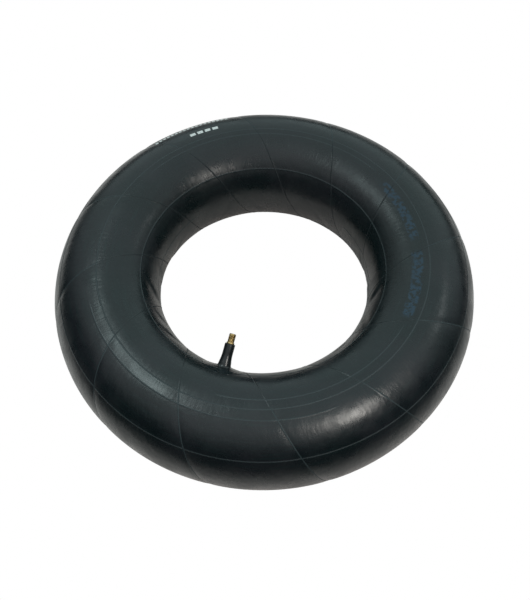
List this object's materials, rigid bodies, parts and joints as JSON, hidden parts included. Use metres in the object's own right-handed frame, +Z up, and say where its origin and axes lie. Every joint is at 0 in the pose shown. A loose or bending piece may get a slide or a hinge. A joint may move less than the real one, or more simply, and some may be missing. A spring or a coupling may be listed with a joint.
{
  "type": "inflated inner tube",
  "caption": "Inflated rubber inner tube, a ring lying flat, with a rubber-covered straight valve on its inner side and a screw-in valve core.",
  "frame": {"origin": "centre of the ring, on the surface that the tube lies on", "axes": "+Z up, along the ring's axis; the valve stands on the inner side of the ring at -Y and points to +Y and up; +X to the right seen from the valve's side"},
  "size_m": [0.5098, 0.5098, 0.1342],
  "materials": {
    "butyl": "satin, slightly dusty butyl skin with raised mould lines",
    "moulded_rubber": "smooth moulded black rubber",
    "brass": "machined brass, dull",
    "plated_brass": "nickel plated",
    "seal_rubber": "matt",
    "spring_wire": "drawn steel wire"
  },
  "bodies": {
    "tube": {"tube_body": "butyl", "valve_pad": "moulded_rubber"},
    "valve_stem": {"stem_cover": "moulded_rubber", "stem_insert": "brass"},
    "valve_core": {"core_barrel": "plated_brass", "core_packing": "seal_rubber", "core_spring": "spring_wire"},
    "core_screw": {"core_plug": "brass"},
    "core_valve": {"core_pin": "brass", "core_cup": "brass", "core_seal": "seal_rubber"}
  },
  "joints": [
    {"name": "stem_flex", "type": "hinge", "parent": "tube", "child": "valve_stem", "pos_m": [0, -0.13248, 0.10558], "axis": [1, 0, 0], "range_deg": [-15, 15], "stiffness_Nm_per_rad": 0.4},
    {"name": "core_travel", "type": "slide", "parent": "valve_stem", "child": "valve_core", "axis": [0, 0.8614, 0.5079], "range_m": [0, 0.00423]},
    {"name": "core_turn", "type": "hinge", "parent": "valve_core", "child": "core_screw", "pos_m": [0, -0.10749, 0.12031], "axis": [0, 0.8614, 0.5079], "range_deg": [0, 2160]},
    {"name": "pin_press", "type": "slide", "parent": "valve_core", "child": "core_valve", "axis": [0, -0.8614, -0.5079], "range_m": [0, 0.0012], "stiffness_N_per_m": 700, "springref_m": -0.002, "deforming": ["core_spring"]}
  ],
  "couplings": [
    {"joint": "core_turn", "follows": "core_travel", "rad_per_m": 8905.3}
  ]
}
